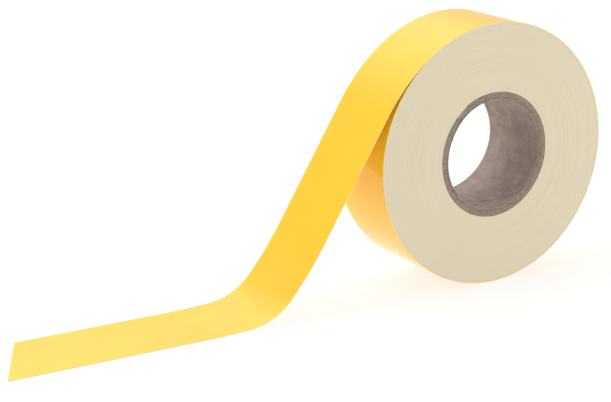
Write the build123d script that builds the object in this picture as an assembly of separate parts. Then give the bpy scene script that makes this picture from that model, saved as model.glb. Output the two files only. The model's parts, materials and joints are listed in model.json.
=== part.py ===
from build123d import *
import math
import os

os.makedirs("parts", exist_ok=True)

# A roll of yellow PVC tape on a paperboard core. It stands on its rim, and its free end is drawn
# off over the top and lies on the surface that the roll stands on.
# Frame: the origin is the centre of the core's bore, +Y is the roll's axis, +Z is up, and the
# free end lies towards -X. Lengths are in millimetres and angles in degrees, counted from +X
# towards +Z.

# The tape.
TAPE_WIDTH = 19.0
FILM_THICKNESS = 0.10
ADHESIVE_THICKNESS = 0.05
TAPE_THICKNESS = FILM_THICKNESS + ADHESIVE_THICKNESS

# The roll and its core.
ROLL_RADIUS = 30.0
CORE_BORE_RADIUS = 12.85
PLY_THICKNESS = 0.30
PLY_NAMES = ["core_liner_ply", "core_ply_2", "core_ply_3", "core_ply_4", "core_outer_ply"]
SPIN_CLEARANCE = 0.05

# Each ply is a paper strip wound on a slant, so its butted edges leave a helical seam.
SEAM_GAP = 0.25
SEAM_PITCH = 62.0
SEAM_STEP_ANGLE = 74.0
FIRST_SEAM_ANGLE = 205.0

# The free run lifts off the roll in one wide bend, falls straight, and lands in three bends:
# an easing one, a tight one and a long shallow one that brings it flat onto the surface.
LIFT_OFF_ANGLE = 124.6
LIFT_BEND_RADIUS = 41.0
LIFT_BEND_TURN = 24.0
EASING_BEND_RADIUS = 80.0
EASING_BEND_TURN = 10.0
TIGHT_BEND_RADIUS = 14.3
TIGHT_BEND_TURN = 44.5
SHALLOW_BEND_RADIUS = 148.0

# The slanted cut across the free end, at the two edges of the tape.
END_X_AT_PLUS_Y = -108.1
END_X_AT_MINUS_Y = -117.0

# Values that follow from those above.
HALF_WIDTH = TAPE_WIDTH / 2
FULL_TURN = 360.0
HALF_TURN = 180.0
QUARTER_TURN = 90.0
CORE_RADIUS = CORE_BORE_RADIUS + PLY_THICKNESS * len(PLY_NAMES)
OUTER_TURN_BORE = ROLL_RADIUS - 2 * TAPE_THICKNESS
PACK_RADIUS = OUTER_TURN_BORE - SPIN_CLEARANCE
STRAIGHT_NORMAL = LIFT_OFF_ANGLE + LIFT_BEND_TURN
SHALLOW_BEND_TURN = STRAIGHT_NORMAL - EASING_BEND_TURN - TIGHT_BEND_TURN - QUARTER_TURN
LANDING_BENDS = [
    (EASING_BEND_RADIUS, EASING_BEND_TURN),
    (TIGHT_BEND_RADIUS, TIGHT_BEND_TURN),
    (SHALLOW_BEND_RADIUS, SHALLOW_BEND_TURN),
]


def polar(radius, angle, centre=(0.0, 0.0)):
    """The point (x, z) at a radius and an angle from a centre."""
    turn = math.radians(angle)
    return (centre[0] + radius * math.cos(turn), centre[1] + radius * math.sin(turn))


def across_width(profile):
    """A solid as wide as the tape, from a profile drawn in x and z."""
    return Plane.XZ * extrude(profile, amount=HALF_WIDTH, both=True)


# The outermost turn is one turn of a spiral, drawn as two half circles. The second one has its
# own centre and radius, and its lowest point is the height of the surface under the roll.
INNER_ARC_CENTRE = polar(-TAPE_THICKNESS / 2, LIFT_OFF_ANGLE)
INNER_ARC_RADIUS = ROLL_RADIUS - TAPE_THICKNESS / 2
SURFACE_Z = INNER_ARC_CENTRE[1] - INNER_ARC_RADIUS


def landing_drop():
    """How far the sticky face falls in the landing bends."""
    drop = 0.0
    normal = STRAIGHT_NORMAL
    for radius, turn in LANDING_BENDS:
        drop += polar(radius, normal - turn)[1] - polar(radius, normal)[1]
        normal -= turn
    return drop


LIFT_OFF_POINT = polar(ROLL_RADIUS - TAPE_THICKNESS, LIFT_OFF_ANGLE)
LIFT_BEND_CENTRE = polar(-LIFT_BEND_RADIUS, LIFT_OFF_ANGLE, LIFT_OFF_POINT)
STRAIGHT_START = polar(LIFT_BEND_RADIUS, STRAIGHT_NORMAL, LIFT_BEND_CENTRE)
STRAIGHT_DROP = STRAIGHT_START[1] - SURFACE_Z - landing_drop()
STRAIGHT_LENGTH = STRAIGHT_DROP / math.sin(math.radians(STRAIGHT_NORMAL - QUARTER_TURN))
STRAIGHT_END = polar(STRAIGHT_LENGTH, STRAIGHT_NORMAL + QUARTER_TURN, STRAIGHT_START)


def ring(inner_radius, outer_radius):
    return across_width(Circle(outer_radius) - Circle(inner_radius))


def seam_cutter(outer_radius, start_angle):
    """A thin helical wall from the axis outwards, which cuts a ply along its butted edges."""
    wall = Rectangle(outer_radius, SEAM_GAP, align=(Align.MIN, Align.CENTER)).face()
    turn = FULL_TURN * TAPE_WIDTH / SEAM_PITCH
    twisted = Solid.extrude_linear_with_rotation(
        wall.outer_wire(), (0, 0, 0), (0, 0, TAPE_WIDTH), turn
    )
    return Plane.XZ * Pos(0, 0, -HALF_WIDTH) * Rot(0, 0, start_angle) * twisted


def core_ply(index):
    inner = CORE_BORE_RADIUS + index * PLY_THICKNESS
    outer = inner + PLY_THICKNESS
    start = FIRST_SEAM_ANGLE + index * SEAM_STEP_ANGLE
    return ring(inner, outer) - seam_cutter(outer + PLY_THICKNESS, start)


def spiral_arcs(depth):
    """The outermost turn's line at a depth below its outer face.

    It starts at the lift-off, and ends there too, one tape thickness nearer the axis.
    """
    first = CenterArc((0, 0), ROLL_RADIUS - depth, LIFT_OFF_ANGLE, -HALF_TURN)
    second_start = LIFT_OFF_ANGLE - HALF_TURN
    second = CenterArc(INNER_ARC_CENTRE, INNER_ARC_RADIUS - depth, second_start, -HALF_TURN)
    return [first, second]


def outer_turn_film():
    outside = spiral_arcs(0)
    inside = spiral_arcs(FILM_THICKNESS)
    caps = [
        Line(outside[0] @ 0, inside[0] @ 0),
        Line(outside[1] @ 1, inside[1] @ 1),
    ]
    return across_width(make_face(outside + inside + caps))


def outer_turn_adhesive():
    """The layer under the outermost turn's film, round inside so that the roll can turn in it."""
    outside = spiral_arcs(FILM_THICKNESS)
    step = Line(outside[1] @ 1, outside[0] @ 0)
    return across_width(make_face(outside + [step]) - Circle(OUTER_TURN_BORE))


def run_edges(height):
    """The free run's line at a height above its sticky face, from the roll to the surface."""
    lift_radius = LIFT_BEND_RADIUS + height
    lift = CenterArc(LIFT_BEND_CENTRE, lift_radius, LIFT_OFF_ANGLE, LIFT_BEND_TURN)
    landing = []
    point = STRAIGHT_END
    normal = STRAIGHT_NORMAL
    for radius, turn in LANDING_BENDS:
        centre = polar(radius, normal, point)
        landing.append(CenterArc(centre, radius - height, normal + HALF_TURN, -turn))
        normal -= turn
        point = polar(-radius, normal, centre)
    return [lift, Line(lift @ 1, landing[0] @ 0), *landing]


def free_run_layer(bottom, top):
    below = run_edges(bottom)
    above = run_edges(top)
    caps = [Line(below[0] @ 0, above[0] @ 0), Line(below[-1] @ 1, above[-1] @ 1)]
    return across_width(make_face(below + above + caps))


def tape_end_layer(bottom, top):
    """The flat stretch on the surface, with its slanted cut."""
    start_x = (run_edges(0)[-1] @ 1).X
    outline = Polyline(
        (start_x, -HALF_WIDTH),
        (start_x, HALF_WIDTH),
        (END_X_AT_PLUS_Y, HALF_WIDTH),
        (END_X_AT_MINUS_Y, -HALF_WIDTH),
        close=True,
    )
    return Pos(0, 0, SURFACE_Z + bottom) * extrude(make_face(outline), amount=top - bottom)


nodes = {name: core_ply(index) for index, name in enumerate(PLY_NAMES)}
nodes["wound_tape"] = ring(CORE_RADIUS, PACK_RADIUS)
nodes["outer_turn_film"] = outer_turn_film()
nodes["outer_turn_adhesive"] = outer_turn_adhesive()
nodes["free_run_film"] = free_run_layer(ADHESIVE_THICKNESS, TAPE_THICKNESS)
nodes["free_run_adhesive"] = free_run_layer(0, ADHESIVE_THICKNESS)
nodes["tape_end_film"] = tape_end_layer(ADHESIVE_THICKNESS, TAPE_THICKNESS)
nodes["tape_end_adhesive"] = tape_end_layer(0, ADHESIVE_THICKNESS)

for name, shape in nodes.items():
    export_step(shape, f"parts/{name}.step")

flat_start = run_edges(0)[-1] @ 1
run_length = sum(edge.length for edge in run_edges(0))
free_length = run_length + flat_start.X - END_X_AT_MINUS_Y
wound_length = math.pi * (ROLL_RADIUS**2 - CORE_RADIUS**2) / TAPE_THICKNESS
print(f"surface at z = {SURFACE_Z:.3f} mm, flat on it from x = {flat_start.X:.3f} mm")
print(f"free tape {free_length:.1f} mm, wound tape {wound_length / 1000:.2f} m")
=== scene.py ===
import json
import math

import bpy
import numpy as np
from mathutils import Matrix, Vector, noise


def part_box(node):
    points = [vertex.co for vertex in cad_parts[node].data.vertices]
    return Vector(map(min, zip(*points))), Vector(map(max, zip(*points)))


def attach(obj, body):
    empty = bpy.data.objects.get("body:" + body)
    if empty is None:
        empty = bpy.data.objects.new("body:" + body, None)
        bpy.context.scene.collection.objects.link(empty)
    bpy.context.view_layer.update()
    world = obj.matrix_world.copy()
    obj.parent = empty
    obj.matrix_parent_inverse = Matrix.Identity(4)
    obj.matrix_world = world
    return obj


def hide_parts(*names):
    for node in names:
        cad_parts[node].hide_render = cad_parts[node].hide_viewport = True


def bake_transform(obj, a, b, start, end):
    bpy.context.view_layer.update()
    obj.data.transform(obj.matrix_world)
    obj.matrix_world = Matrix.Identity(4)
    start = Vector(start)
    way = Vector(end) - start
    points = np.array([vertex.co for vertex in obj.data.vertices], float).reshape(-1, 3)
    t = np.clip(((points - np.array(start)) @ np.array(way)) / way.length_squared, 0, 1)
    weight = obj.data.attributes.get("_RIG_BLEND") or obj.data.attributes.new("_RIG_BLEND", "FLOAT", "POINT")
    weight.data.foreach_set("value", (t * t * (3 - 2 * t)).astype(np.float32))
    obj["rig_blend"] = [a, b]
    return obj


# The looks of a roll of yellow tape on a paperboard core. Everything is in metres, in the frame of
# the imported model: the origin is the centre of the core's bore, +Y is the roll's axis, and the
# free end of the tape lies towards -X.
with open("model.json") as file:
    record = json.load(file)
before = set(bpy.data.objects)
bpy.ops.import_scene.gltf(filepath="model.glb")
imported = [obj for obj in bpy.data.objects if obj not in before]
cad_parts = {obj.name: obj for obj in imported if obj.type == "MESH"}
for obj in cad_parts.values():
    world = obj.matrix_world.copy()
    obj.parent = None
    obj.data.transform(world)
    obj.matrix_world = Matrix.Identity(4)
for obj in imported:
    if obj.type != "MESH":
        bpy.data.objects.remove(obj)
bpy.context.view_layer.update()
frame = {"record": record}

MM = 0.001

# Sizes that the frame gives.
BORE_MOUNT = next(m for m in frame["record"]["mounts"] if m["name"] == "core_bore")
BORE_RADIUS = BORE_MOUNT["dims"]["r_mm"] * MM
HALF_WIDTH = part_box("tape_end_film")[1].y
SURFACE_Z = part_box("tape_end_adhesive")[0].z
FLAT_START_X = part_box("tape_end_film")[1].x
END_X_AT_MINUS_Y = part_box("tape_end_film")[0].x

# Sizes repeated from the CAD source, where a box can't give them.
FILM_THICKNESS = 0.10 * MM
ADHESIVE_THICKNESS = 0.05 * MM
TAPE_THICKNESS = FILM_THICKNESS + ADHESIVE_THICKNESS
ROLL_RADIUS = 30.0 * MM
PLY_THICKNESS = 0.30 * MM
PLY_NAMES = ["core_liner_ply", "core_ply_2", "core_ply_3", "core_ply_4", "core_outer_ply"]
CORE_RADIUS = BORE_RADIUS + PLY_THICKNESS * len(PLY_NAMES)
VISIBLE_CLEARANCE = 0.01 * MM
OUTER_TURN_BORE = ROLL_RADIUS - 2 * TAPE_THICKNESS
PACK_RADIUS = OUTER_TURN_BORE - VISIBLE_CLEARANCE
SEAM_GAP = 0.25 * MM
SEAM_PITCH = 62.0 * MM
SEAM_STEP_ANGLE = 74.0
FIRST_SEAM_ANGLE = 205.0
LIFT_OFF_ANGLE = 124.6
LIFT_BEND = (41.0 * MM, 24.0)
LANDING_BENDS = [(80.0 * MM, 10.0), (14.3 * MM, 44.5), (148.0 * MM, 4.1)]
END_X_AT_PLUS_Y = -108.1 * MM
HALF_TURN = 180.0
FULL_TURN = 360.0

# How finely the meshes are divided.
LAYER_GAP = 0.002 * MM
ROLL_STEP_ANGLE = 2.0
BEND_STEP_ANGLE = 0.75
STEP_SLOPE_ANGLE = 0.1
STRAIGHT_STEP = 1.0 * MM
STRIP_COLUMNS = 11
WOUND_SEGMENTS = 96
SMOOTH_ANGLE = 30.0


def direction(angle):
    """The unit vector in the x-z plane at an angle in degrees from +X towards +Z."""
    turn = math.radians(angle)
    return Vector((math.cos(turn), 0.0, math.sin(turn)))


def new_object(name, verts, faces, material_index=None, smooth_angle=SMOOTH_ANGLE):
    """A mesh object with smooth faces, and sharp edges where it turns past an angle."""
    mesh = bpy.data.meshes.new(name)
    mesh.from_pydata([tuple(v) for v in verts], [], faces)
    if material_index is not None:
        mesh.polygons.foreach_set("material_index", material_index)
    mesh.polygons.foreach_set("use_smooth", [True] * len(mesh.polygons))
    mesh.set_sharp_from_angle(angle=math.radians(smooth_angle))
    mesh.update()
    piece = bpy.data.objects.new(name, mesh)
    bpy.context.scene.collection.objects.link(piece)
    return piece


def set_place(piece, values):
    """Stores three values at each point for the materials, such as how far along and across the
    tape it lies, in metres."""
    attributes = piece.data.attributes
    attribute = attributes.get("place") or attributes.new("place", "FLOAT_VECTOR", "POINT")
    attribute.data.foreach_set("vector", np.asarray(values, np.float32).ravel())


def ease(share):
    """A share from 0 to 1, with a soft start and a soft end."""
    return share * share * (3 - 2 * share)


# ---------------------------------------------------------------- the drawn tape

def bend(point, normal, radius, turn, step=BEND_STEP_ANGLE):
    """Stations (point, normal) along one bend of the tape's sticky face, after its start.

    A positive radius bends the tape the way it lies on the roll, and a negative one the other way.
    """
    centre = point - direction(normal) * radius
    signed_turn = math.copysign(turn, radius)
    count = math.ceil(turn / step)
    angles = [normal + signed_turn * i / count for i in range(1, count + 1)]
    return [(centre + direction(angle) * radius, angle) for angle in angles]


def outer_turn_stations():
    """The outermost turn, from its inner end round to the lift-off: two half circles."""
    start_normal = LIFT_OFF_ANGLE - FULL_TURN
    stations = [(direction(start_normal) * OUTER_TURN_BORE, start_normal)]
    for radius in (OUTER_TURN_BORE + TAPE_THICKNESS / 2, ROLL_RADIUS - TAPE_THICKNESS):
        stations += bend(*stations[-1], radius, HALF_TURN, ROLL_STEP_ANGLE)
    return stations


def free_run_stations():
    """The free run, from the lift-off to where the tape lies flat on the surface."""
    lift_off = direction(LIFT_OFF_ANGLE) * (ROLL_RADIUS - TAPE_THICKNESS)
    stations = [(lift_off, LIFT_OFF_ANGLE)]
    stations += bend(*stations[-1], *LIFT_BEND)
    top, slope_normal = stations[-1]
    drop = top.z - SURFACE_Z
    normal = slope_normal
    for radius, turn in LANDING_BENDS:
        drop -= radius * (direction(normal - turn).z - direction(normal).z)
        normal -= turn
    down = direction(slope_normal + HALF_TURN / 2)
    length = drop / -down.z
    count = math.ceil(length / STRAIGHT_STEP)
    stations += [(top + down * length * i / count, slope_normal) for i in range(1, count + 1)]
    for radius, turn in LANDING_BENDS:
        stations += bend(*stations[-1], -radius, turn)
    return stations


OUTER_TURN = outer_turn_stations()
FREE_RUN = free_run_stations()
COLUMNS = np.linspace(-HALF_WIDTH, HALF_WIDTH, STRIP_COLUMNS)


def flat_rows(bottom, top):
    """Rows of (lower, upper) points on the flat end, which slant more and more to the cut."""
    cut = np.interp(COLUMNS, [-HALF_WIDTH, HALF_WIDTH], [END_X_AT_MINUS_Y, END_X_AT_PLUS_Y])
    count = math.ceil((FLAT_START_X - END_X_AT_MINUS_Y) / STRAIGHT_STEP)
    rows = []
    for i in range(1, count + 1):
        xs = FLAT_START_X + (cut - FLAT_START_X) * i / count
        lower = [Vector((x, y, SURFACE_Z + bottom)) for x, y in zip(xs, COLUMNS)]
        upper = [Vector((x, y, SURFACE_Z + top)) for x, y in zip(xs, COLUMNS)]
        rows.append((lower, upper))
    return rows


def across(point):
    """The point repeated at each column across the tape's width."""
    return [Vector((point.x, y, point.z)) for y in COLUMNS]


def station_rows(stations, bottom, top):
    """Rows of (lower, upper) points at two heights above the sticky face."""
    rows = []
    for point, normal in stations:
        out = direction(normal)
        rows.append((across(point + out * bottom), across(point + out * top)))
    return rows


def strip(name, rows, edge_material=1):
    """A closed strip through rows of (lower, upper) points. Its two faces have the first material,
    and its slit and cut edges have the one that edge_material counts from 0."""
    columns = len(rows[0][0])
    verts = [point for lower, upper in rows for point in lower + upper]
    faces = []
    materials = []

    def add(face, material):
        faces.append(face)
        materials.append(material)

    def low(row, column):
        return row * 2 * columns + column

    def high(row, column):
        return low(row, column) + columns

    last_row = len(rows) - 1
    last = columns - 1
    for i in range(last_row):
        for j in range(last):
            add((high(i, j), high(i, j + 1), high(i + 1, j + 1), high(i + 1, j)), 0)
            add((low(i + 1, j), low(i + 1, j + 1), low(i, j + 1), low(i, j)), 0)
        add((low(i, 0), high(i, 0), high(i + 1, 0), low(i + 1, 0)), edge_material)
        add((low(i + 1, last), high(i + 1, last), high(i, last), low(i, last)), edge_material)
    for j in range(last):
        add((low(0, j), low(0, j + 1), high(0, j + 1), high(0, j)), edge_material)
        add(
            (high(last_row, j), high(last_row, j + 1), low(last_row, j + 1), low(last_row, j)),
            edge_material,
        )
    piece = new_object(name, verts, faces, materials)
    middles = [upper[columns // 2] for _, upper in rows]
    steps = [0.0] + [(b - a).length for a, b in zip(middles, middles[1:])]
    along = np.cumsum(steps)
    set_place(piece, [(along[k // (2 * columns)], v.y, 0.0) for k, v in enumerate(verts)])
    return piece


def make_film():
    """The yellow film from the outermost turn to the cut end, as one strip."""
    heights = (ADHESIVE_THICKNESS + LAYER_GAP, TAPE_THICKNESS)
    rows = station_rows(OUTER_TURN + FREE_RUN[1:], *heights) + flat_rows(*heights)
    film = strip("tape_film", rows)
    film.data.materials.append(film_material())
    film.data.materials.append(slit_edge_material("yellow_slit_edge", YELLOW_EDGE_TONES))
    return film


def make_adhesive():
    """The adhesive under the film. On the roll it is round inside, and fills the spiral's step.
    The step is a steep slope, so that it stays clear of the spiral's start."""
    slope_top = LIFT_OFF_ANGLE - STEP_SLOPE_ANGLE
    slope_station = (direction(slope_top) * (ROLL_RADIUS - TAPE_THICKNESS), slope_top)
    rows = []
    for point, normal in OUTER_TURN[:-1] + [slope_station]:
        out = direction(normal)
        inner = point.normalized() * OUTER_TURN_BORE
        rows.append((across(inner), across(point + out * ADHESIVE_THICKNESS)))
    rows += station_rows(FREE_RUN, 0.0, ADHESIVE_THICKNESS) + flat_rows(0.0, ADHESIVE_THICKNESS)
    adhesive = strip("tape_adhesive", rows)
    adhesive.data.materials.append(adhesive_material())
    adhesive.data.materials.append(slit_edge_material("cream_slit_edge", CREAM_EDGE_TONES))
    return adhesive


# ---------------------------------------------------------------- the wound pack

WINDING_GAP = 0.004 * MM
WINDING_WANDER = 0.030 * MM
WANDER_KNOTS_PER_TURN = 1.3
WANDER_SEED = 11
# The wander's fine part, and its slow part as waves of (share, turns per radian, phase).
FINE_SHARE = 0.6
SLOW_WAVES = [(0.6, 3.1, 0.7), (0.4, 8.7, 0.0)]
# The share of each turn after which it climbs onto the next one.
RAMP_START = 0.90


def winding_wander(turns):
    """How far the tape wanders sideways at each number of turns, by less than a set amount."""
    rng = np.random.default_rng(WANDER_SEED)
    knots = int(turns[-1] * WANDER_KNOTS_PER_TURN) + 2
    loose = rng.uniform(-1.0, 1.0, knots)
    fine = np.interp(turns * WANDER_KNOTS_PER_TURN, np.arange(knots), loose)
    slow = sum(share * np.sin(turns / rate + phase) for share, rate, phase in SLOW_WAVES)
    return WINDING_WANDER * (FINE_SHARE * fine + (1 - FINE_SHARE) * slow)


def make_wound_tape():
    """About a hundred turns of tape as one long strip, each turn a little out of line. The turns
    share the room between the core and the outermost turn."""
    turn_count = round((PACK_RADIUS - CORE_RADIUS) / TAPE_THICKNESS)
    turn_thickness = (PACK_RADIUS - CORE_RADIUS) / turn_count
    turns = np.linspace(0, turn_count, turn_count * WOUND_SEGMENTS + 1)
    whole = np.minimum(np.floor(turns), turn_count - 1)
    part = turns - whole
    ramp = np.clip((part - RAMP_START) / (1 - RAMP_START), 0, 1)
    ramp = np.where(whole < turn_count - 1, ease(ramp), 0.0)
    inner = CORE_RADIUS + (whole + ramp) * turn_thickness
    outer = inner + turn_thickness - WINDING_GAP
    angle = np.radians(LIFT_OFF_ANGLE) + turns * 2 * np.pi
    wander = winding_wander(turns)
    reach = HALF_WIDTH - WINDING_WANDER
    rows = []
    for a, low, high, shift in zip(angle, inner, outer, wander):
        out = Vector((math.cos(a), 0.0, math.sin(a)))
        sides = [Vector((0.0, shift - reach, 0.0)), Vector((0.0, shift + reach, 0.0))]
        rows.append(([out * low + side for side in sides], [out * high + side for side in sides]))
    wound = strip("wound_turns", rows, edge_material=0)
    row_size = len(rows[0][0]) + len(rows[0][1])
    points = [vertex.co for vertex in wound.data.vertices]
    set_place(wound, [(turns[k // row_size], p.y, math.hypot(p.x, p.z)) for k, p in enumerate(points)])
    wound.data.materials.append(wound_side_material())
    return wound


# ---------------------------------------------------------------- the core

PLY_GAP = 0.006 * MM
PLY_SEGMENTS_AROUND = 360
PLY_ROWS = 24
END_ROUNDING = 0.05 * MM
RIM_ROUNDING = 0.15 * MM
BURR_LENGTH = 0.9 * MM
BURR_LOW = 0.10 * MM
BURR_HIGH = 0.42 * MM
BURR_WAVE = 9.0 * MM
END_FUZZ = 0.07 * MM
COARSE_FUZZ_SIZE = 0.9 * MM
FINE_FUZZ_SIZE = 0.35 * MM
COARSE_FUZZ_SHARE = 0.6
BORE_WAVE = 0.03 * MM
BORE_WAVE_SIZE = 4.0 * MM
PLY_SMOOTH_ANGLE = 50.0
# A cut end's rounded section, as (share of the wall, share of the rounding).
END_PROFILE = [(0.12, 0.7), (0.5, 1.0), (0.88, 0.7)]


def fuzz(point, scale):
    """Smooth noise from -1 to 1 at a point, with features of about a given size."""
    return noise.noise(point / scale)


def rim_weight(y):
    """From 0 inside the bore to 1 at its rims, where the knife that cut the core left a burr. It also sets
    where the bore wall is painted paler as a highlight.
    """
    nearness = (abs(y) - (HALF_WIDTH - BURR_LENGTH)) / BURR_LENGTH
    return ease(min(max(nearness, 0.0), 1.0))


def burr(point):
    """How far the burr stands into the bore at a point."""
    height = BURR_LOW + (BURR_HIGH - BURR_LOW) * (1 + fuzz(point, BURR_WAVE)) / 2
    return height * rim_weight(point.y)


def ply_profile(inner, outer, rounding):
    """The ply's section as a loop of (radius, y, end weight), the weight 1 on the cut ends. Its
    rows lie closer together towards the ends."""
    wall = outer - inner
    ys = np.sin(np.linspace(-math.pi / 2, math.pi / 2, PLY_ROWS + 1))
    body = HALF_WIDTH - rounding
    loop = [(inner, body * y, 0.0) for y in ys[::-1]]
    loop += [(inner + wall * u, -(body + rounding * r), 1.0) for u, r in END_PROFILE]
    loop += [(outer, body * y, 0.0) for y in ys]
    loop += [(inner + wall * u, body + rounding * r, 1.0) for u, r in reversed(END_PROFILE)]
    return loop


def ply_point(index, angle, radius, y, end_weight, inner, outer):
    """A point of a ply's section, with its fuzz, waves and burr."""
    out = direction(angle)
    point = out * radius + Vector((0.0, y, 0.0))
    if end_weight:
        coarse = COARSE_FUZZ_SHARE * fuzz(point, COARSE_FUZZ_SIZE)
        rough = coarse + (1 - COARSE_FUZZ_SHARE) * fuzz(point, FINE_FUZZ_SIZE)
        point.y -= math.copysign(END_FUZZ * (1 + rough) / 2, y)
    elif index == 0 and radius == inner:
        point += out * abs(fuzz(point, BORE_WAVE_SIZE)) * BORE_WAVE
    if index == 0:
        depth = (outer - radius) / (outer - inner)
        point -= out * burr(point) * depth
    return point


def ply_faces(size):
    """The faces between a ply's sections of so many points, and a cap on each side of its seam."""
    faces = []
    for i in range(PLY_SEGMENTS_AROUND):
        row = i * size
        for k in range(size):
            after = (k + 1) % size
            faces.append((row + after, row + size + after, row + size + k, row + k))
    faces.append(tuple(reversed(range(size))))
    faces.append(tuple(PLY_SEGMENTS_AROUND * size + k for k in range(size)))
    return faces


def make_ply(index):
    """One strip of paperboard wound into a tube, with a helical seam and fuzzy cut ends. The
    liner's ends are rounded, and have a burr at the rim of the bore."""
    inner = BORE_RADIUS + index * PLY_THICKNESS
    outer = inner + PLY_THICKNESS - PLY_GAP
    loop = ply_profile(inner, outer, RIM_ROUNDING if index == 0 else END_ROUNDING)
    seam_turn = math.degrees(SEAM_GAP / inner)
    start = FIRST_SEAM_ANGLE + index * SEAM_STEP_ANGLE
    verts = []
    places = []
    for i in range(PLY_SEGMENTS_AROUND + 1):
        for radius, y, end_weight in loop:
            twist = FULL_TURN * (HALF_WIDTH - y) / SEAM_PITCH
            angle = start + twist + seam_turn / 2
            angle += (FULL_TURN - seam_turn) * i / PLY_SEGMENTS_AROUND
            verts.append(ply_point(index, angle, radius, y, end_weight, inner, outer))
            # The bore wall near each rim is painted paler as a highlight, stored as an end weight below 0.
            painted_rim_highlight = rim_weight(y) if index == 0 and radius == inner else 0.0
            places.append((math.radians(angle) * radius, y, end_weight - painted_rim_highlight))
    name = "paper_" + PLY_NAMES[index]
    ply = new_object(name, verts, ply_faces(len(loop)), smooth_angle=PLY_SMOOTH_ANGLE)
    set_place(ply, places)
    ply.data.materials.append(paper_material(index))
    return ply


# ---------------------------------------------------------------- materials

# Colours are linear, and TONES are (dark, light). A ROUGHNESS is (smoothest, roughest). A SCALE is
# about how many features of the noise fit in a metre, and a PER_TURN how many fit in a turn of
# tape. A MOST is the largest share that a tone is mixed in by, and a HEIGHT is a bump's height.
UNSTRETCHED = (1.0, 1.0, 1.0)
# Most of the noise lies between these two values.
NOISE_LOW = 0.3
NOISE_HIGH = 0.7

FILM_TONES = ((0.955, 0.520, 0.003), (0.985, 0.552, 0.006))
FILM_ROUGHNESS = (0.07, 0.12)
FILM_IOR = 1.5
FILM_CLOUD_SCALE = 70.0
FILM_LINE_SCALE = 900.0
FILM_LINE_STRETCH = (0.02, 1.0, 1.0)
FILM_LINE_HEIGHT = 0.0006 * MM
FILM_PEEL_SCALE = 1500.0
FILM_PEEL_HEIGHT = 0.0008 * MM

YELLOW_EDGE_TONES = ((0.88, 0.62, 0.16), (0.96, 0.74, 0.26))
CREAM_EDGE_TONES = ((0.76, 0.65, 0.38), (0.86, 0.76, 0.48))
EDGE_ROUGHNESS = (0.40, 0.55)
EDGE_NICK_SCALE = 800.0
EDGE_NICK_HEIGHT = 0.004 * MM

ADHESIVE_TONES = ((0.83, 0.73, 0.42), (0.91, 0.81, 0.49))
ADHESIVE_ROUGHNESS = (0.28, 0.42)
ADHESIVE_LUMP_SCALE = 500.0
ADHESIVE_LUMP_HEIGHT = 0.004 * MM
ADHESIVE_STREAK_SCALE = 700.0
ADHESIVE_STREAK_STRETCH = (0.05, 1.0, 1.0)
ADHESIVE_STREAK_HEIGHT = 0.003 * MM

WOUND_TONES = ((0.692, 0.620, 0.428), (0.742, 0.675, 0.490))
WOUND_TINT = (0.752, 0.662, 0.500)
WOUND_TINT_MOST = 0.35
WOUND_ROUGHNESS = (0.42, 0.56)
RINGS_PER_TURN = (0.55, 0.0, 0.0)
BANDS_PER_TURN = (0.06, 0.0, 0.0)
WOUND_GRAIN_SCALE = 2200.0
WOUND_GRAIN_HEIGHT = 0.003 * MM

PAPER_TONES = ((0.295, 0.236, 0.200), (0.450, 0.372, 0.327))
PAPER_STREAK_TONE = (0.480, 0.400, 0.360)
PAPER_STREAK_MOST = 0.35
PAPER_FIBRE_TONE = (0.150, 0.115, 0.092)
PAPER_FIBRE_MOST = 0.40
# The noise below which a fibre is darkest, and that at which it ends.
PAPER_FIBRE_RANGE = (0.25, 0.50)
CUT_TONES = ((0.105, 0.080, 0.055), (0.305, 0.242, 0.178))
CUT_MOST = 0.8
# The noise at which a fleck on a cut end is darkest, and palest.
CUT_FLECK_RANGE = (0.25, 0.65)
# The burr's paler tone is a painted highlight, standing for the bright line that the bore's rim catches.
PAINTED_RIM_HIGHLIGHT_TONE = (0.620, 0.540, 0.470)
PAINTED_RIM_HIGHLIGHT_MOST = 0.9
# The end weight at which the painted highlight on the burr starts to turn paler.
PAINTED_RIM_HIGHLIGHT_START = -0.35
PAPER_ROUGHNESS = (0.78, 0.92)
PAPER_IOR = 1.4
PAPER_BLOTCH_SCALE = 420.0
PAPER_BLOTCH_HEIGHT = 0.03 * MM
PAPER_FIBRE_SCALE = 2400.0
PAPER_FIBRE_HEIGHT = 0.02 * MM
PAPER_FLECK_SCALE = 1300.0
PAPER_STREAK_SCALE = 900.0
PAPER_STREAK_STRETCH = (1.0, 0.22, 0.0)
# How far the noise is shifted from one ply to the next.
PLY_NOISE_SHIFT = 10.0 * MM


def new_material(name):
    """A node material, with its tree and its Principled shader."""
    material = bpy.data.materials.new(name)
    material.use_nodes = True
    tree = material.node_tree
    return material, tree, tree.nodes["Principled BSDF"]


def add_node(tree, kind, inputs=None, **settings):
    """A node with its settings, and its inputs set to values or linked to other nodes' outputs."""
    node = tree.nodes.new(kind)
    for key, value in settings.items():
        setattr(node, key, value)
    for key, value in (inputs or {}).items():
        if isinstance(value, bpy.types.NodeSocket):
            tree.links.new(value, node.inputs[key])
        else:
            node.inputs[key].default_value = value
    return node


def tape_place(tree, stretch=UNSTRETCHED):
    """The values that set_place stored at each point, scaled."""
    place = add_node(tree, "ShaderNodeAttribute", attribute_name="place")
    mapping = add_node(
        tree, "ShaderNodeMapping", {"Vector": place.outputs["Vector"], "Scale": stretch}
    )
    return mapping.outputs["Vector"]


def body_place(tree):
    """Coordinates in the piece's own space."""
    return add_node(tree, "ShaderNodeTexCoord").outputs["Object"]


def noise_value(tree, vector, scale, detail=3.0, roughness=0.5):
    """Noise from 0 to 1."""
    node = add_node(
        tree,
        "ShaderNodeTexNoise",
        {"Vector": vector, "Scale": scale, "Detail": detail, "Roughness": roughness},
    )
    return node.outputs["Fac"]


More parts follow.
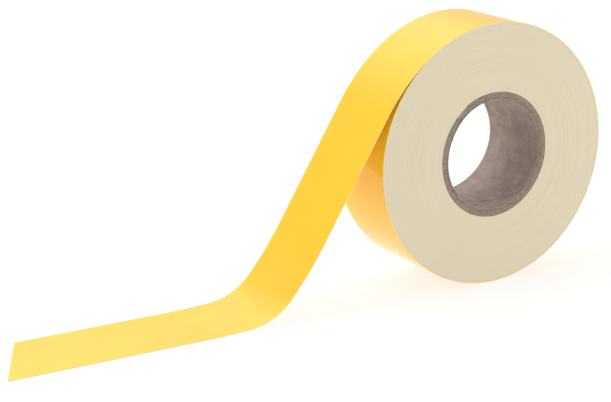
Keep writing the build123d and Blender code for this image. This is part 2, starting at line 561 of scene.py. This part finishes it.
def spread(tree, value, low, high, from_low=NOISE_LOW, from_high=NOISE_HIGH):
    """A value moved from one range to another, and kept inside it."""
    node = add_node(
        tree,
        "ShaderNodeMapRange",
        {"Value": value, "From Min": from_low, "From Max": from_high, "To Min": low, "To Max": high},
        clamp=True,
    )
    return node.outputs["Result"]


def blend_colours(tree, factor, dark, light):
    """A colour between two colours, by a factor."""
    node = add_node(tree, "ShaderNodeMix", {"Factor": factor}, data_type="RGBA")
    # The node's sockets share their names between kinds of data, so colours go by number.
    for socket, value in ((node.inputs[6], dark), (node.inputs[7], light)):
        if isinstance(value, bpy.types.NodeSocket):
            tree.links.new(value, socket)
        else:
            socket.default_value = (*value, 1.0)
    return node.outputs[2]


def bump(tree, height, distance, below=None):
    """A bump of a height in metres, on top of another one if given."""
    inputs = {"Height": height, "Strength": 1.0, "Distance": distance}
    if below is not None:
        inputs["Normal"] = below
    return add_node(tree, "ShaderNodeBump", inputs).outputs["Normal"]


def film_material():
    """Glossy yellow PVC film: smooth, with a faint orange peel and lines along its length."""
    material, tree, shader = new_material("yellow_film")
    clouds = noise_value(tree, tape_place(tree), FILM_CLOUD_SCALE)
    lines = noise_value(tree, tape_place(tree, FILM_LINE_STRETCH), FILM_LINE_SCALE, detail=2.0)
    peel = noise_value(tree, tape_place(tree), FILM_PEEL_SCALE, detail=2.0)
    colour = blend_colours(tree, spread(tree, clouds, 0.0, 1.0), *FILM_TONES)
    tree.links.new(colour, shader.inputs["Base Color"])
    tree.links.new(spread(tree, clouds, *FILM_ROUGHNESS), shader.inputs["Roughness"])
    shader.inputs["IOR"].default_value = FILM_IOR
    waves = bump(tree, lines, FILM_LINE_HEIGHT)
    tree.links.new(bump(tree, peel, FILM_PEEL_HEIGHT, waves), shader.inputs["Normal"])
    return material


def slit_edge_material(name, tones):
    """One layer's slit edges, rougher than its faces."""
    material, tree, shader = new_material(name)
    nicks = noise_value(tree, tape_place(tree), EDGE_NICK_SCALE)
    tree.links.new(blend_colours(tree, nicks, *tones), shader.inputs["Base Color"])
    tree.links.new(spread(tree, nicks, *EDGE_ROUGHNESS), shader.inputs["Roughness"])
    tree.links.new(bump(tree, nicks, EDGE_NICK_HEIGHT), shader.inputs["Normal"])
    return material


def adhesive_material():
    """Cream rubber adhesive: satin, with the fine lumps of a coated layer."""
    material, tree, shader = new_material("cream_adhesive")
    lumps = noise_value(tree, tape_place(tree), ADHESIVE_LUMP_SCALE)
    streaks = noise_value(tree, tape_place(tree, ADHESIVE_STREAK_STRETCH), ADHESIVE_STREAK_SCALE)
    tree.links.new(blend_colours(tree, lumps, *ADHESIVE_TONES), shader.inputs["Base Color"])
    tree.links.new(spread(tree, streaks, *ADHESIVE_ROUGHNESS), shader.inputs["Roughness"])
    streaked = bump(tree, streaks, ADHESIVE_STREAK_HEIGHT)
    tree.links.new(bump(tree, lumps, ADHESIVE_LUMP_HEIGHT, streaked), shader.inputs["Normal"])
    return material


def wound_side_material():
    """The side of the pack: cream slit edges, whose tone drifts from turn to turn."""
    material, tree, shader = new_material("cream_wound_side")
    rings = noise_value(tree, tape_place(tree, RINGS_PER_TURN), 1.0, detail=4.0, roughness=0.6)
    bands = noise_value(tree, tape_place(tree, BANDS_PER_TURN), 1.0, detail=2.0)
    grain = noise_value(tree, body_place(tree), WOUND_GRAIN_SCALE, detail=2.0)
    base = blend_colours(tree, spread(tree, rings, 0.0, 1.0), *WOUND_TONES)
    tinted = blend_colours(tree, spread(tree, bands, 0.0, WOUND_TINT_MOST), base, WOUND_TINT)
    tree.links.new(tinted, shader.inputs["Base Color"])
    tree.links.new(spread(tree, grain, *WOUND_ROUGHNESS), shader.inputs["Roughness"])
    tree.links.new(bump(tree, grain, WOUND_GRAIN_HEIGHT), shader.inputs["Normal"])
    return material


def paper_tone(tree, blotches, fibres, flecks, streaks):
    """The paper's colour. It is darker on the cut ends and has a painted highlight on the burr,
    by the end weight that is stored at each point: 1 on a cut end, and down to -1 on the burr."""
    place = add_node(tree, "ShaderNodeAttribute", attribute_name="place")
    end_weight = add_node(
        tree, "ShaderNodeSeparateXYZ", {"Vector": place.outputs["Vector"]}
    ).outputs["Z"]
    tone = blend_colours(tree, spread(tree, blotches, 0.0, 1.0), *PAPER_TONES)
    streakiness = spread(tree, streaks, 0.0, PAPER_STREAK_MOST)
    tone = blend_colours(tree, streakiness, tone, PAPER_STREAK_TONE)
    darkness = spread(tree, fibres, PAPER_FIBRE_MOST, 0.0, *PAPER_FIBRE_RANGE)
    tone = blend_colours(tree, darkness, tone, PAPER_FIBRE_TONE)
    cut = blend_colours(tree, spread(tree, flecks, 0.0, 1.0, *CUT_FLECK_RANGE), *CUT_TONES)
    tone = blend_colours(tree, spread(tree, end_weight, 0.0, CUT_MOST, 0.0, 1.0), tone, cut)
    # A painted highlight: the bore wall at the burr is painted paler.
    painted_highlight = spread(tree, end_weight, PAINTED_RIM_HIGHLIGHT_MOST, 0.0, -1.0, PAINTED_RIM_HIGHLIGHT_START)
    return blend_colours(tree, painted_highlight, tone, PAINTED_RIM_HIGHLIGHT_TONE)


def paper_material(index):
    """Recycled paperboard: grey-brown, mottled with fibres, and matt. Its cut ends are darker,
    with coarser flecks, and the bore's rims have a painted highlight, a paler tone on the burr."""
    material, tree, shader = new_material(f"paperboard_{index + 1}")
    shift = PLY_NOISE_SHIFT * index
    shifted = add_node(
        tree, "ShaderNodeVectorMath", {0: body_place(tree), 1: (shift, shift, shift)},
        operation="ADD",
    ).outputs["Vector"]
    blotches = noise_value(tree, shifted, PAPER_BLOTCH_SCALE, detail=4.0, roughness=0.6)
    fibres = noise_value(tree, shifted, PAPER_FIBRE_SCALE, detail=4.0, roughness=0.65)
    flecks = noise_value(tree, shifted, PAPER_FLECK_SCALE, detail=2.0)
    streaks = noise_value(tree, tape_place(tree, PAPER_STREAK_STRETCH), PAPER_STREAK_SCALE)
    tone = paper_tone(tree, blotches, fibres, flecks, streaks)
    tree.links.new(tone, shader.inputs["Base Color"])
    tree.links.new(spread(tree, fibres, *PAPER_ROUGHNESS), shader.inputs["Roughness"])
    shader.inputs["IOR"].default_value = PAPER_IOR
    mottled = bump(tree, blotches, PAPER_BLOTCH_HEIGHT)
    tree.links.new(bump(tree, fibres, PAPER_FIBRE_HEIGHT, mottled), shader.inputs["Normal"])
    return material


# ---------------------------------------------------------------- stage, lights and camera

FLOOR_SIZE = 6.0
FLOOR_DROP = 0.2 * MM
FLOOR_ROUGHNESS = 0.9
BACKDROP_BRIGHTNESS = 1.0
# The surround's light, with a glow in one direction and a shade in another. An EDGE is the cosine
# of the angle from that direction at which it starts.
AMBIENT_BRIGHTNESS = 0.66
GLOW_BRIGHTNESS = 1.80
GLOW_DIRECTION = (0.05, 0.75, 0.66)
GLOW_EDGE = 0.72
SHADE_DIRECTION = (-0.60, -0.79, 0.10)
SHADE_EDGE = 0.25
SHADE_DEPTH = 0.64
FLOOR_REFLECTANCE = (0.34, 0.31, 0.26)
FLOOR_GLOW = (0.70, 0.715, 0.745)
# Each softbox: name, place, diameter, watts.
SOFTBOXES = [
    ("softbox_top", (0.0, 0.0, 1.00), 0.8, 2.0),
    ("softbox_back_left", (-0.60, 0.35, 0.72), 0.8, 5.0),
    ("softbox_front_right", (0.72, -0.72, 0.26), 0.8, 4.5),
    ("softbox_under", (0.0, 0.60, -0.80), 0.8, 2.6),
]
# This one's glare would wash out the flat end when the roll is seen from behind.
NOT_IN_REFLECTIONS = ["softbox_front_right"]
CAMERA_AZIMUTH = -30.854
CAMERA_ELEVATION = 16.322
CAMERA_PLACE = (-0.22596, -0.30514, 0.09746)
CAMERA_LENS = 100.64
SENSOR_WIDTH = 36.0
NEAREST_SEEN = 0.01


def make_stage():
    """A plain white table just under the surface height. It is lit from below, so it lets the
    light under it through and glows a little itself."""
    half = FLOOR_SIZE / 2
    level = SURFACE_Z - FLOOR_DROP
    corners = [(-half, -half, level), (half, -half, level), (half, half, level), (-half, half, level)]
    floor = new_object("studio_floor", corners, [(0, 1, 2, 3)])
    material, _, shader = new_material("studio_white")
    shader.inputs["Base Color"].default_value = (*FLOOR_REFLECTANCE, 1.0)
    shader.inputs["Roughness"].default_value = FLOOR_ROUGHNESS
    shader.inputs["Specular IOR Level"].default_value = 0.0
    shader.inputs["Emission Color"].default_value = (*FLOOR_GLOW, 1.0)
    shader.inputs["Emission Strength"].default_value = 1.0
    floor.data.materials.append(material)
    floor.visible_shadow = False


def lobe(tree, place, aim, edge):
    """From 0 to 1 towards one direction of the surround, with a soft edge."""
    unit = tuple(Vector(aim).normalized())
    towards = add_node(tree, "ShaderNodeVectorMath", {0: place, 1: unit}, operation="DOT_PRODUCT")
    nearness = spread(tree, towards.outputs["Value"], 0.0, 1.0, edge, 1.0)
    return add_node(tree, "ShaderNodeMath", {0: nearness, 1: 2.0}, operation="POWER").outputs[0]


def make_surround():
    """A white backdrop. It lights the object less brightly than it looks, with a soft glow above
    and behind, and little light from the dark side of the studio."""
    world = bpy.data.worlds.new("studio_surround")
    world.use_nodes = True
    tree = world.node_tree
    background = tree.nodes["Background"]
    place = add_node(tree, "ShaderNodeTexCoord").outputs["Generated"]
    glow = lobe(tree, place, GLOW_DIRECTION, GLOW_EDGE)
    shade = lobe(tree, place, SHADE_DIRECTION, SHADE_EDGE)
    shaded = spread(tree, shade, AMBIENT_BRIGHTNESS, AMBIENT_BRIGHTNESS - SHADE_DEPTH, 0.0, 1.0)
    lighting = add_node(
        tree,
        "ShaderNodeMath",
        {0: glow, 1: GLOW_BRIGHTNESS - AMBIENT_BRIGHTNESS, 2: shaded},
        operation="MULTIPLY_ADD",
    ).outputs[0]
    path = add_node(tree, "ShaderNodeLightPath")
    brightness = add_node(
        tree,
        "ShaderNodeMapRange",
        {
            "Value": path.outputs["Is Camera Ray"],
            "To Min": lighting,
            "To Max": BACKDROP_BRIGHTNESS,
        },
    )
    background.inputs["Color"].default_value = (1.0, 1.0, 1.0, 1.0)
    tree.links.new(brightness.outputs["Result"], background.inputs["Strength"])
    bpy.context.scene.world = world


def make_softboxes():
    """Round soft lights, all turned to the roll."""
    for name, place, size, power in SOFTBOXES:
        data = bpy.data.lights.new(name, "AREA")
        data.shape = "DISK"
        data.size = size
        data.energy = power
        softbox = bpy.data.objects.new(name, data)
        softbox.location = place
        softbox.visible_camera = False
        softbox.visible_glossy = name not in NOT_IN_REFLECTIONS
        softbox.rotation_euler = (-Vector(place)).to_track_quat("-Z", "Y").to_euler()
        bpy.context.scene.collection.objects.link(softbox)


def make_camera():
    """The camera, to the left of the roll's front and a little above it."""
    azimuth = math.radians(CAMERA_AZIMUTH)
    elevation = math.radians(CAMERA_ELEVATION)
    back = Vector((
        math.sin(azimuth) * math.cos(elevation),
        -math.cos(azimuth) * math.cos(elevation),
        math.sin(elevation),
    ))
    data = bpy.data.cameras.new("camera")
    data.lens = CAMERA_LENS
    data.sensor_width = SENSOR_WIDTH
    data.clip_start = NEAREST_SEEN
    camera = bpy.data.objects.new("camera", data)
    camera.location = CAMERA_PLACE
    camera.rotation_euler = (-back).to_track_quat("-Z", "Y").to_euler()
    bpy.context.scene.collection.objects.link(camera)
    bpy.context.scene.camera = camera


def place_pieces():
    """Makes every piece, says which body it rides on, and hides the CAD nodes it stands for."""
    blend_start = (FLAT_START_X, 0.0, SURFACE_Z)
    blend_end = (END_X_AT_PLUS_Y, 0.0, SURFACE_Z)
    for layer, piece in (("film", make_film()), ("adhesive", make_adhesive())):
        nodes = [f"outer_turn_{layer}", f"free_run_{layer}", f"tape_end_{layer}"]
        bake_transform(piece, "drawn_tape", "tape_end", start=blend_start, end=blend_end)
        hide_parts(*nodes)
    wound = make_wound_tape()
    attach(wound, "roll")
    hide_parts("wound_tape")
    for index, node in enumerate(PLY_NAMES):
        ply = make_ply(index)
        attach(ply, "roll")
        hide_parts(node)


make_camera()
make_surround()
make_softboxes()
make_stage()
place_pieces()
bpy.context.scene.view_settings.view_transform = "Standard"
